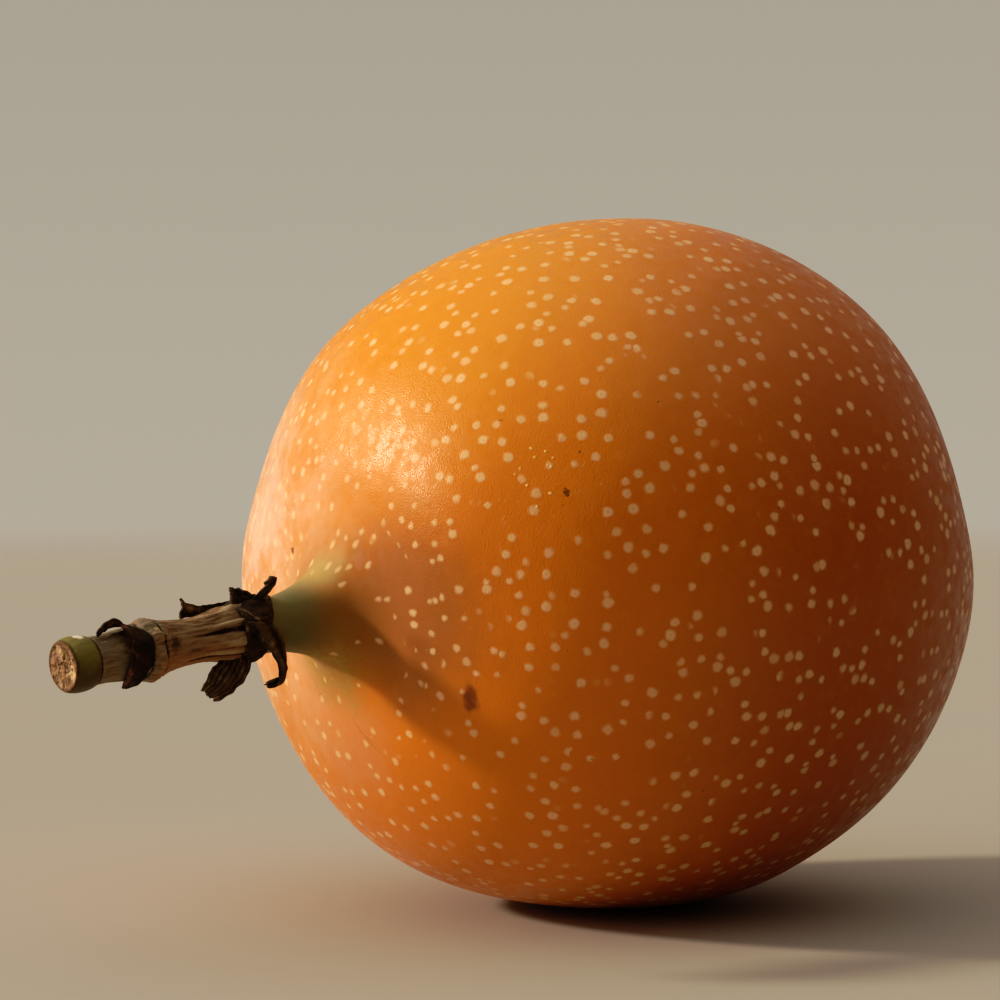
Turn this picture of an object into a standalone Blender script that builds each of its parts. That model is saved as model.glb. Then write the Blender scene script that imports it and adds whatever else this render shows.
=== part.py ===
"""Passion fruit (sweet granadilla) lying on its side, with its cut stalk.

Units are metres with +Z up. The origin is the middle of the small flat spot that the fruit rests on.
The stalk points to -X and droops a little, and the blossom end points to +X.
"""

import math

import bmesh
import bpy
from mathutils import Vector

MM = 0.001

# Fruit, in millimetres: it is turned about its own long axis
GIRTH_RADIUS = 32.05  # half of the width, level with the table
HEIGHT_RADIUS = 31.65  # half of the height, a little less because the fruit lies on its side
STALK_END_LENGTH = 32.4
BLOSSOM_END_LENGTH = 31.0
FULLNESS = 2.3  # 2 is an ellipse, more is squarer
FLAT_SPOT_DEPTH = 0.5
FLATTENING = HEIGHT_RADIUS / GIRTH_RADIUS
FRUIT_DROOP_DEG = 5.0  # how far the stalk end hangs lower than the blossom end

# Neck, which flares out of a shallow basin in the stalk end
NECK_RADIUS = 2.45
NECK_END = 38.5  # from the fruit's centre
NECK_FLARE = 0.8
SHOULDER_FLARE = 2.4
SHOULDER_SHARE = 0.6  # how much of the neck's height the wide shoulder carries
BASIN_DEPTH = 1.2
BASIN_RADIUS = 9.0

# Stalk, measured outwards from the end of the neck
STALK_DROOP_DEG = 6.2
STALK_TURN_DEG = -5.4  # how far the dried sepals and the bract are turned about the stalk
GAP = 0.3
COLLAR_LENGTH = 3.5
COLLAR_RADIUS = 2.7
STALK_START = COLLAR_LENGTH + GAP
JOINT_PLACE = 13.1
JOINT_RADIUS = 2.7
CUT_END_START = 18.6
CUT_END_RADIUS = 2.25
STALK_LENGTH = 21.8

DRY_THICKNESS = 0.35
SEPAL_CUP = 0.15
BRACT_CUP = 0.1

# Stations along each dried piece: its middle, then the vector from there to one edge, both as (outwards along
# the stalk, up, towards -Y)
SEPALS = {
    "sepal_back": [
        ((3.4, 1.9, -2.7), (0.1, 0.5, 0.4)),
        ((5.6, 1.7, -2.2), (0.1, 0.4, 0.3)),
        ((7.4, 2.0, -1.8), (0.1, 0.4, 0.2)),
        ((8.9, 2.5, -1.6), (0.1, 0.8, 0.1)),
    ],
    "sepal_peak": [
        ((3.6, 3.15, 0.4), (1.3, 0.0, -0.1)),
        ((3.9, 3.5, 0.4), (0.8, 0.0, 0.2)),
        ((4.2, 3.9, 0.3), (0.3, 0.1, 0.0)),
    ],
    "sepal_curl": [
        ((2.5, 3.1, 0.9), (0.4, 0.1, -0.2)),
        ((1.8, 3.5, 1.1), (0.2, 0.1, -0.2)),
        ((1.2, 4.2, 1.4), (0.2, 0.1, -0.2)),
        ((1.5, 4.5, 1.7), (0.1, 0.2, -0.2)),
        ((2.5, 4.2, 1.9), (0.0, 0.2, -0.1)),
    ],
    "sepal_hook": [
        ((2.6, -0.4, 3.1), (1.1, 0.2, 0.0)),
        ((1.9, -1.7, 2.9), (0.7, 0.3, 0.1)),
        ((1.4, -3.0, 2.8), (0.4, 0.1, 0.2)),
        ((1.7, -4.2, 2.7), (0.3, 0.3, 0.2)),
        ((3.1, -4.4, 2.5), (0.0, 0.2, 0.2)),
    ],
    "sepal_fan": [
        ((4.8, -2.7, 1.5), (1.1, 0.2, -0.4)),
        ((6.2, -3.1, 1.7), (1.0, 0.7, -0.4)),
        ((7.4, -3.9, 1.8), (0.9, 0.6, -0.3)),
        ((8.4, -4.5, 1.8), (0.8, 0.4, -0.3)),
    ],
}
BRACT = [
    ((16.1, -2.9, 0.4), (0.2, 0.0, 0.0)),
    ((15.6, -2.2, 1.9), (0.9, 0.0, 0.0)),
    ((15.7, -0.1, 2.8), (1.2, 0.0, 0.0)),
    ((15.6, 2.0, 2.0), (1.0, 0.0, 0.1)),
    ((15.5, 2.8, 0.4), (0.7, 0.2, 0.4)),
    ((16.8, 3.1, 0.0), (0.2, 0.1, 0.4)),
    ((18.4, 2.7, 0.2), (0.0, 0.0, 0.2)),
]

FRUIT_STEPS = 56
FRUIT_RINGS = 22  # on each half
RING_CROWDING = 1.6  # above 1, the rings crowd together on the neck
STALK_STEPS = 24
LEAF_ROWS = 14
LEAF_COLUMNS = 4


def clear_scene():
    for ob in list(bpy.data.objects):
        bpy.data.objects.remove(ob, do_unlink=True)


def new_collection(name):
    collection = bpy.data.collections.new(name)
    bpy.context.scene.collection.children.link(collection)
    return collection


def finish_material(name, colour, roughness):
    material = bpy.data.materials.new(name)
    material.use_nodes = True
    shader = material.node_tree.nodes["Principled BSDF"]
    shader.inputs["Base Color"].default_value = (*colour, 1)
    shader.inputs["Roughness"].default_value = roughness
    shader.inputs["Metallic"].default_value = 0
    return material


def add_object(name, mesh, material, collection, parent=None):
    mesh.materials.append(material)
    ob = bpy.data.objects.new(name, mesh)
    collection.objects.link(ob)
    ob.parent = parent
    return ob


def turned(name, profile, steps, material, collection, parent=None):
    """Turns a profile of (radius, height) in millimetres, listed from top to bottom, about Z."""
    mesh = bpy.data.meshes.new(name)
    points = [(radius * MM, 0, height * MM) for radius, height in profile]
    mesh.from_pydata(points, [(i, i + 1) for i in range(len(points) - 1)], [])
    ob = add_object(name, mesh, material, collection, parent)
    screw = ob.modifiers.new("turn", "SCREW")
    screw.steps = screw.render_steps = steps
    screw.use_merge_vertices = True
    screw.merge_threshold = 0.00001
    screw.use_smooth_shade = True
    return ob


def half_outline(length, angle):
    """A point (radius, distance from the centre) on one end of the body, with angle 0 on the long axis."""
    power = 2 / FULLNESS
    return GIRTH_RADIUS * math.sin(angle) ** power, length * math.cos(angle) ** power


def basin(radius):
    return BASIN_DEPTH * math.exp(-((radius / BASIN_RADIUS) ** 2))


def neck_share(radius):
    """How far up the neck the surface is, from 1 at the neck's own radius to 0 on the body."""
    beyond = radius - NECK_RADIUS
    steep = (1 - SHOULDER_SHARE) * math.exp(-beyond / NECK_FLARE)
    wide = SHOULDER_SHARE * math.exp(-beyond / SHOULDER_FLARE)
    return steep + wide


def fruit_profile():
    start = math.asin((NECK_RADIUS / GIRTH_RADIUS) ** (FULLNESS / 2))
    neck_height = NECK_END - half_outline(STALK_END_LENGTH, start)[1] + basin(NECK_RADIUS)
    profile = [(0, NECK_END)]
    for i in range(FRUIT_RINGS + 1):
        share = (i / FRUIT_RINGS) ** RING_CROWDING
        radius, height = half_outline(STALK_END_LENGTH, start + share * (math.pi / 2 - start))
        profile.append((radius, height - basin(radius) + neck_height * neck_share(radius)))
    for i in range(1, FRUIT_RINGS):
        radius, height = half_outline(BLOSSOM_END_LENGTH, math.pi / 2 * (1 - i / FRUIT_RINGS))
        profile.append((radius, -height))
    profile.append((0, -BLOSSOM_END_LENGTH))
    return profile


def resting_centre(profile):
    """Where the fruit's centre is, in millimetres, when its lowest point is at the origin and pressed flat."""
    droop = math.radians(FRUIT_DROOP_DEG)
    along_axis = Vector((-math.cos(droop), 0, -math.sin(droop)))
    down = Vector((math.sin(droop), 0, -math.cos(droop)))
    underside = [along_axis * height + down * radius * FLATTENING for radius, height in profile]
    return Vector((0, 0, -FLAT_SPOT_DEPTH)) - min(underside, key=lambda point: point.z)


def make_fruit(collection, cutters):
    rind = finish_material("rind", (0.62, 0.22, 0.02), 0.38)
    profile = fruit_profile()
    centre = resting_centre(profile)
    fruit = turned("fruit", profile, FRUIT_STEPS, rind, collection)
    fruit.location = centre * MM
    fruit.scale = (FLATTENING, 1, 1)
    fruit.rotation_euler = (0, -math.radians(90 + FRUIT_DROOP_DEG), 0)

    bpy.ops.mesh.primitive_cube_add(size=2 * GIRTH_RADIUS * MM)
    below_table = bpy.context.active_object
    below_table.name = "below_table"
    below_table.location = (0, 0, -GIRTH_RADIUS * MM)
    below_table.hide_render = True
    below_table.display_type = "WIRE"
    for owner in list(below_table.users_collection):
        owner.objects.unlink(below_table)
    cutters.objects.link(below_table)

    flatten = fruit.modifiers.new("flat_spot", "BOOLEAN")
    flatten.operation = "DIFFERENCE"
    flatten.solver = "EXACT"
    flatten.object = below_table
    return centre


def make_stem_axis(collection, centre):
    """An empty on the neck's end. Its +Z runs out along the stalk and its +X points up."""
    axis = bpy.data.objects.new("stem_axis", None)
    collection.objects.link(axis)
    droop = math.radians(FRUIT_DROOP_DEG)
    neck = Vector((-math.cos(droop), 0, -math.sin(droop))) * NECK_END
    axis.location = (centre + neck) * MM
    axis.rotation_mode = "ZYX"
    axis.rotation_euler = (0, -math.radians(90 + STALK_DROOP_DEG), math.radians(STALK_TURN_DEG))
    return axis


def make_collar(collection, axis):
    dark = finish_material("dried_flower", (0.03, 0.018, 0.01), 0.8)
    profile = [
        (0, COLLAR_LENGTH),
        (2.2, COLLAR_LENGTH),
        (2.45, 3.2),
        (COLLAR_RADIUS, 2.4),
        (COLLAR_RADIUS, 1.5),
        (2.55, 0.6),
        (2.5, GAP),
        (0, GAP),
    ]
    turned("flower_collar", profile, STALK_STEPS, dark, collection, axis)


def make_stalk(collection, axis):
    """The dried flower base, the ring of the joint, the waist and the thicker green cut end."""
    bark = finish_material("stalk_bark", (0.16, 0.09, 0.045), 0.75)
    profile = [
        (0, STALK_LENGTH),
        (2.0, STALK_LENGTH),
        (CUT_END_RADIUS, 21.2),
        (2.3, 20.0),
        (CUT_END_RADIUS, 19.0),
        (2.0, CUT_END_START),
        (1.95, 17.6),
        (2.15, 16.2),
        (2.2, 15.0),
        (2.35, 14.2),
        (JOINT_RADIUS, JOINT_PLACE + 0.5),
        (JOINT_RADIUS, JOINT_PLACE - 0.3),
        (2.3, 12.1),
        (2.1, 10.6),
        (1.9, 9.0),
        (1.95, 7.4),
        (2.2, 5.6),
        (2.35, 4.4),
        (2.3, STALK_START),
        (0, STALK_START),
    ]
    turned("stalk", profile, STALK_STEPS, bark, collection, axis)


def smooth_point(points, share):
    """A point on the smooth curve through points, for a share of 0 to 1 of the way along."""
    place = share * (len(points) - 1)
    i = min(int(place), len(points) - 2)
    t = place - i
    before, here = points[max(i - 1, 0)], points[i]
    there, after = points[i + 1], points[min(i + 2, len(points) - 1)]
    return 0.5 * (
        2 * here
        + (there - before) * t
        + (2 * before - 5 * here + 4 * there - after) * t**2
        + (3 * here - before - 3 * there + after) * t**3
    )


def dried_leaf(name, stations, cup, material, collection, axis):
    """A dried leaf-like piece: a grid laid along a smooth line and given a wall.

    Each station is its middle and the vector from there to one edge, both as (outwards, up, towards -Y) in
    millimetres. cup is how far the middle bulges away from the edges.
    """
    middles = [Vector((up, -near, out)) for (out, up, near), edge in stations]
    edges = [Vector((up, -near, out)) for middle, (out, up, near) in stations]
    mesh = bpy.data.meshes.new(name)
    bm = bmesh.new()
    bmesh.ops.create_grid(
        bm, x_segments=LEAF_COLUMNS, y_segments=LEAF_ROWS, size=1
    )
    for vertex in bm.verts:
        across, share = vertex.co.x, (vertex.co.y + 1) / 2
        middle, edge = smooth_point(middles, share), smooth_point(edges, share)
        ahead = smooth_point(middles, min(share + 0.01, 1)) - smooth_point(
            middles, max(share - 0.01, 0)
        )
        normal = edge.cross(ahead).normalized()
        bulge = cup * (1 - across * across)
        vertex.co = (middle + edge * across + normal * bulge) * MM
    bmesh.ops.recalc_face_normals(bm, faces=bm.faces)
    bm.to_mesh(mesh)
    bm.free()
    mesh.shade_smooth()
    ob = add_object(name, mesh, material, collection, axis)
    wall = ob.modifiers.new("wall", "SOLIDIFY")
    wall.thickness = DRY_THICKNESS * MM
    wall.offset = 0


def make_dried_leaves(collection, axis):
    dry = finish_material("dried_sepal", (0.06, 0.035, 0.018), 0.75)
    red_brown = finish_material("dried_bract", (0.09, 0.03, 0.018), 0.65)
    for name, stations in SEPALS.items():
        dried_leaf(name, stations, SEPAL_CUP, dry, collection, axis)
    dried_leaf("bract_curl", BRACT, BRACT_CUP, red_brown, collection, axis)


clear_scene()
passion_fruit = new_collection("passion_fruit")
cutting_tools = new_collection("cutting_tools")
fruit_centre = make_fruit(passion_fruit, cutting_tools)
stem_axis = make_stem_axis(passion_fruit, fruit_centre)
make_collar(passion_fruit, stem_axis)
make_stalk(passion_fruit, stem_axis)
make_dried_leaves(passion_fruit, stem_axis)
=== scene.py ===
import math

import bpy
from mathutils import Euler, Matrix, Vector, noise


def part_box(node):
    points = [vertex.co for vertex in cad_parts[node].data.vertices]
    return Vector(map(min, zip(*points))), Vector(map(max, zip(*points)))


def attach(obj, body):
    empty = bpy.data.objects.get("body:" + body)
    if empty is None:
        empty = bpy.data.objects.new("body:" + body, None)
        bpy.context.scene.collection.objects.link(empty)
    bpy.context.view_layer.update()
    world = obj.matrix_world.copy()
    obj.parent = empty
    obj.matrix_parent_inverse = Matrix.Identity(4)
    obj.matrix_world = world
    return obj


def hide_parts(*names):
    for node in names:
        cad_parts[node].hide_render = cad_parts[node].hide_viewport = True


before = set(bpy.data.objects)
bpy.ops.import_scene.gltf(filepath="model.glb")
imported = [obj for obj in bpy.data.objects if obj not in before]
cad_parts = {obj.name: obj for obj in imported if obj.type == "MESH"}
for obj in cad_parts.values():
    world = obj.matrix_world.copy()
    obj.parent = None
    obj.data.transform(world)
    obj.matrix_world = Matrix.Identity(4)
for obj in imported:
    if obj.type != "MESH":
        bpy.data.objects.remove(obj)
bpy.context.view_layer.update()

# ----------------------------------------------------------------------------------------------
# Rind
# The whole fruit: a thin, hard, waxy orange rind speckled with cream spots. It lies on its side.
# Its stalk end was drawn out into a green neck as it grew, so the skin and its spots are stretched
# there. Lengths are in millimetres from here on, and MM turns them into metres.
# ----------------------------------------------------------------------------------------------
MM = 0.001
fruit_low, fruit_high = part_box("fruit")
FLAT_SPOT = 0.5
GIRTH_RADIUS = (fruit_high.y - fruit_low.y) / 2 / MM
FLATTENING = 0.9875  # it is a little lower than it is wide
BLOSSOM_LENGTH = 31.0
SHOULDER_LENGTH = 32.4
FULLNESS = 2.3  # 2 is an ellipse, more is squarer
BASIN_DEPTH = 1.2
BASIN_RADIUS = 9.0
NECK_LENGTH = 38.5  # from the fruit's centre to the flower collar
NECK_RADIUS = 2.45
FRUIT_DROOP = math.radians(5)  # the stalk end hangs lower than the blossom end
TO_STALK = Vector((-math.cos(FRUIT_DROOP), 0, -math.sin(FRUIT_DROOP)))
NECK_REACH = NECK_LENGTH * math.cos(FRUIT_DROOP) + NECK_RADIUS * math.sin(FRUIT_DROOP)
CENTRE = Vector((fruit_low.x / MM + NECK_REACH, 0, (fruit_high.z / MM - FLAT_SPOT) / 2))
NECK_MOUTH = CENTRE + TO_STALK * NECK_LENGTH
NECK_HIDDEN = 2.2  # how far the neck runs on inside the collar
PRESSED_HEIGHT = 1.0  # below this the rind bends round into its flat spot
PRESSED_DEPTH = 0.6  # skin that would be this far below the table lies flat on it
PRESSED_ROUNDING = 2.6  # sets how roundly the flat spot's edge bends
STRETCHED_SKIN = (5, 20)  # along the skin from its neck end, where its stretch starts to fade and ends
SKIN_NARROWED = 0.4  # how much wider the neck's skin was before it was drawn out
SKIN_LENGTHENED = 0.8

RIND_SEGMENTS = 360
RIND_RINGS = 230
RING_CROWDING = 1.25  # above 1, the rings crowd together on the neck


def rind_outline(angle, length):
    """Radius and distance from the centre on one half of the body, with angle 0 on the long axis."""
    power = 2 / FULLNESS
    return GIRTH_RADIUS * math.sin(angle) ** power, length * math.cos(angle) ** power


def basin(radius):
    return BASIN_DEPTH * math.exp(-((radius / BASIN_RADIUS) ** 2))


def neck_share(radius):
    """How far up the neck the skin is, from 1 at the neck's own radius to 0 on the body."""
    beyond = radius - NECK_RADIUS
    return 0.4 * math.exp(-beyond / 0.8) + 0.6 * math.exp(-beyond / 2.4)


def rind_profile(steps=600):
    """Points (radius, distance from the centre) from the neck's hidden end to the blossom end."""
    start = math.asin((NECK_RADIUS / GIRTH_RADIUS) ** (FULLNESS / 2))
    neck_height = NECK_LENGTH - rind_outline(start, SHOULDER_LENGTH)[1] + basin(NECK_RADIUS)
    points = [(0, NECK_LENGTH + NECK_HIDDEN), (NECK_RADIUS * 0.95, NECK_LENGTH + NECK_HIDDEN)]
    for step in range(steps + 1):
        angle = start + (step / steps) ** 1.6 * (math.pi / 2 - start)
        radius, out = rind_outline(angle, SHOULDER_LENGTH)
        points.append((radius, out - basin(radius) + neck_height * neck_share(radius)))
    for step in range(1, steps + 1):
        radius, out = rind_outline(math.pi / 2 * (1 - step / steps), BLOSSOM_LENGTH)
        points.append((radius, -out))
    return points


def smooth_step(value, low, high):
    share = min(max((value - low) / (high - low), 0), 1)
    return share * share * (3 - 2 * share)


def ring_places(points):
    """For each ring: its radius, distance from the centre, and the same two on the unstretched skin."""
    lengths, young = [0], [(0, 0)]
    for (radius, out), (next_radius, next_out) in zip(points, points[1:]):
        step = math.hypot(next_radius - radius, next_out - out)
        lengths.append(lengths[-1] + step)
        grown = 1 - smooth_step(lengths[-1], *STRETCHED_SKIN)
        young_radius = next_radius * (1 + SKIN_NARROWED * grown)
        widened = young_radius - young[-1][0]
        young_step = step / (1 + SKIN_LENGTHENED * grown)
        advance = math.sqrt(max(young_step**2 - widened**2, 0))
        young.append((young_radius, young[-1][1] - advance))
    places, k = [], 0
    for ring in range(RIND_RINGS + 1):
        wanted = lengths[-1] * (ring / RIND_RINGS) ** RING_CROWDING
        while k < len(points) - 2 and lengths[k + 1] < wanted:
            k += 1
        share = (wanted - lengths[k]) / (lengths[k + 1] - lengths[k])
        here, there = (*points[k], *young[k]), (*points[k + 1], *young[k + 1])
        places.append([a + (b - a) * min(share, 1) for a, b in zip(here, there)])
    return places


def round_blank(name, segments, rings, radius):
    """A closed ball whose rings are then drawn out along a piece."""
    bpy.ops.object.select_all(action="DESELECT")
    bpy.ops.mesh.primitive_uv_sphere_add(segments=segments, ring_count=rings, radius=radius)
    piece = bpy.context.active_object
    piece.name = piece.data.name = name
    bpy.ops.object.shade_smooth()
    return piece


# Slight flats (below 0) and swellings of the rind: turn from +X and tilt up, spread, height
RIND_SHAPE = [
    (-39, 1, 9, 0.6),
    (-38, 13, 9, -1.0),
    (-38, -16, 10, 0.3),
    (-43, -38, 12, 0.3),
    (-60, -68, 9, 0.4),
    (-170, -76, 12, -0.6),
    (-30, 58, 20, 0.2),
    (-131, 80, 18, 0.22),
    (151, 59, 11, -0.2),
    (147, 15, 9, -0.5),
    (-158, 12, 10, 0.8),
    (147, 0, 9, 0.55),
    (153, -41, 10, 0.2),
]


def facing(turn, tilt):
    turn, tilt = math.radians(turn), math.radians(tilt)
    return Vector(
        (math.cos(turn) * math.cos(tilt), math.sin(turn) * math.cos(tilt), math.sin(tilt))
    )


def swelling(direction):
    height = 0.12 * noise.noise(direction * 2.1) + 0.05 * noise.noise(direction * 5.3)
    for turn, tilt, spread, peak in RIND_SHAPE:
        apart = math.degrees(direction.angle(facing(turn, tilt)))
        height += peak * math.exp(-((apart / spread) ** 2) / 2)
    return height


def pressed(height):
    """Height above the table of skin that would be at this height if nothing pressed on it."""
    return max(height + PRESSED_DEPTH, 0) ** 2 / PRESSED_ROUNDING


def shape_rind():
    rind = round_blank("whole_rind", RIND_SEGMENTS, RIND_RINGS, GIRTH_RADIUS)
    places = ring_places(rind_profile())
    turned = Matrix.Rotation(-math.pi / 2 - FRUIT_DROOP, 3, "Y")
    young_skin = rind.data.attributes.new("young_skin", "FLOAT_VECTOR", "POINT")
    for vertex in rind.data.vertices:
        height = min(max(vertex.co.z / GIRTH_RADIUS, -1), 1)
        radius, out, young_radius, young_out = places[round(math.acos(height) / math.pi * RIND_RINGS)]
        around = math.atan2(vertex.co.y, vertex.co.x)
        away = Vector((math.cos(around), math.sin(around), 0))
        young_skin.data[vertex.index].vector = (away * young_radius + Vector((0, 0, young_out))) * MM
        place = away * radius + Vector((0, 0, out))
        place.x *= FLATTENING
        place = turned @ place
        full = smooth_step(radius, 5, 16)
        place += place.normalized() * swelling(place.normalized()) * full
        place += CENTRE
        if place.z < PRESSED_HEIGHT:
            place.z = max(place.z, pressed(place.z))
        vertex.co = place * MM
    return rind


class Finish:
    """A socket of a material. Sums on it add Math nodes, and node() adds any other kind of node."""

    def __init__(self, tree, socket=None):
        self.tree = tree
        self.socket = socket

    def node(self, kind, settings=None, inputs=None, out=0):
        made = self.tree.nodes.new("ShaderNode" + kind)
        for name, value in (settings or {}).items():
            setattr(made, name, value)
        for name, value in (inputs or {}).items():
            if isinstance(value, Finish):
                self.tree.links.new(value.socket, made.inputs[name])
            else:
                made.inputs[name].default_value = value
        return Finish(self.tree, made.outputs[out])

    def also(self, out):
        """Another output of the node that this came from."""
        return Finish(self.tree, self.socket.node.outputs[out])

    def sum(self, operation, first, second=0.0):
        return self.node("Math", {"operation": operation}, {0: first, 1: second})

    def __add__(self, other):
        return self.sum("ADD", self, other)

    def __sub__(self, other):
        return self.sum("SUBTRACT", self, other)

    def __mul__(self, other):
        return self.sum("MULTIPLY", self, other)

    def __truediv__(self, other):
        return self.sum("DIVIDE", self, other)

    def __pow__(self, other):
        return self.sum("POWER", self, other)

    def __rsub__(self, other):
        return self.sum("SUBTRACT", other, self)

    def __rtruediv__(self, other):
        return self.sum("DIVIDE", other, self)

    __radd__ = __add__
    __rmul__ = __mul__

    def rise(self, low, high):
        """0 at low and 1 at high, with a smooth rise between them."""
        settings = {"interpolation_type": "SMOOTHSTEP"}
        if low > high:
            return 1 - self.rise(high, low)
        return self.node("MapRange", settings, {"Value": self, "From Min": low, "From Max": high})

    def mix(self, first, second):
        """The first colour where this is 0, and the second where it is 1."""
        colours = [c if isinstance(c, Finish) else (*c, 1) for c in (first, second)]
        inputs = {"Factor": self, 6: colours[0], 7: colours[1]}
        return self.node("Mix", {"data_type": "RGBA"}, inputs, out=2)

    def vector(self, operation, second, out=0):
        return self.node("VectorMath", {"operation": operation}, {0: self, 1: second}, out)

    def scaled(self, factor):
        return self.node("VectorMath", {"operation": "SCALE"}, {0: self, "Scale": factor})

    def from_place(self, place):
        """Distance in millimetres from a place given in millimetres."""
        return self.vector("DISTANCE", tuple(value * MM for value in place), out=1) / MM

    def clouds(self, size, detail=2.0, roughness=0.5, distortion=0.0, out=0):
        """Noise with lumps about size millimetres across."""
        inputs = {"Vector": self, "Scale": 1 / (size * MM), "Detail": detail}
        inputs.update({"Roughness": roughness, "Distortion": distortion})
        return self.node("TexNoise", None, inputs, out)

    def cells(self, size, scatter=1.0, out=0):
        inputs = {"Vector": self, "Scale": 1 / (size * MM), "Randomness": scatter}
        return self.node("TexVoronoi", None, inputs, out)

    def split(self, out):
        return self.node("SeparateXYZ", None, {0: self}, out)

    def bump(self, strength, distance, under=None):
        inputs = {"Height": self, "Strength": strength, "Distance": distance * MM}
        if under:
            inputs["Normal"] = under
        return self.node("Bump", None, inputs)


def new_finish(name, slot_colour, **uniform):
    """A material with one principled shader, its even settings, and a start for its other nodes."""
    material = bpy.data.materials.new(name)
    material.use_nodes = True
    material.diffuse_color = (*slot_colour, 1)
    shader = material.node_tree.nodes["Principled BSDF"]
    for socket, value in uniform.items():
        shader.inputs[socket.replace("_", " ")].default_value = value
    return material, shader, Finish(material.node_tree)


def feed(shader, **links):
    for socket, value in links.items():
        target = shader.inputs[socket.replace("_", " ")]
        shader.id_data.links.new(value.socket, target)


ORANGE = (0.79, 0.245, 0.012)
GOLD = (0.83, 0.33, 0.016)
DEEP_ORANGE = (0.70, 0.185, 0.009)
SHADED_RED_ORANGE = (0.48, 0.10, 0.004)
ROSE = (0.76, 0.36, 0.19)
BLOOM_AND_SHEEN = (0.96, 0.67, 0.50)
CREAM = (0.97, 0.68, 0.38)
NECK_GREEN = (0.16, 0.19, 0.09)
LIT_NECK_LIME = (0.58, 0.43, 0.16)
NECK_OLIVE = (0.50, 0.30, 0.07)
NECK_BROWN = (0.34, 0.145, 0.03)
DUSKY_SHADE_ROSE = (0.38, 0.138, 0.034)
BRUISE_RED = (0.17, 0.03, 0.01)
FRECKLE_BROWN = (0.12, 0.035, 0.01)
SCUFF_GLINT_GOLD = (1.0, 0.62, 0.2)

SPOT_SPACING = 1.58
SPOT_RADIUS = 0.43
SPOT_DEPTH = 0.45  # a cell whose middle is farther than this from the skin has no spot
YOUNG_CENTRE = -36.0  # the middle of the unstretched skin, measured from its neck end

# Places on the rind, measured from the fruit's centre
LIT_GOLD_SIDE = CENTRE + Vector((-21, -3, 25))
SHADED_RED_SIDE = CENTRE + Vector((16, -22, -4))
BLOOM_AND_SHEEN_SIDE = CENTRE + Vector((-28, 15, 2))
BLOSSOM_END = CENTRE - TO_STALK * BLOSSOM_LENGTH
ROSY_BELOW = CENTRE + Vector((-30, 2, -14))
SHADED_ROSY_FLARE = CENTRE + Vector((-31, -9, -2))
LIT_LIME_FLARE = CENTRE + Vector((-35, -1, 1.5))
OLIVE_FLARE = CENTRE + Vector((-33, 0, -7.5))
BRUISE = CENTRE + Vector((-28.7, -14.5, -9.2))
GLINT_SCUFFS = CENTRE + Vector((-25.2, -20, 9.6))
SCRATCH = CENTRE + Vector((-26.1, -15.6, 14.3))
DARK_MARKS = [
    ((-24.2, -21.9, 8.3), 0.36),
    ((-24.5, -21.9, 7.2), 0.16),
    ((-22.7, -21.8, 11.7), 0.12),
    ((-32.0, 6.1, 2.4), 0.26),
]
# Fine creases are arcs: the middle of the arc's circle, its radius, the arc's own middle, its reach
CREASES = [
    ((-33, -12, -6), 13.2, (-29.2, 0.5, -15.5), 4.5),
    ((-36, 14, -28), 16, (-30, 5, -13.5), 4),
]


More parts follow.
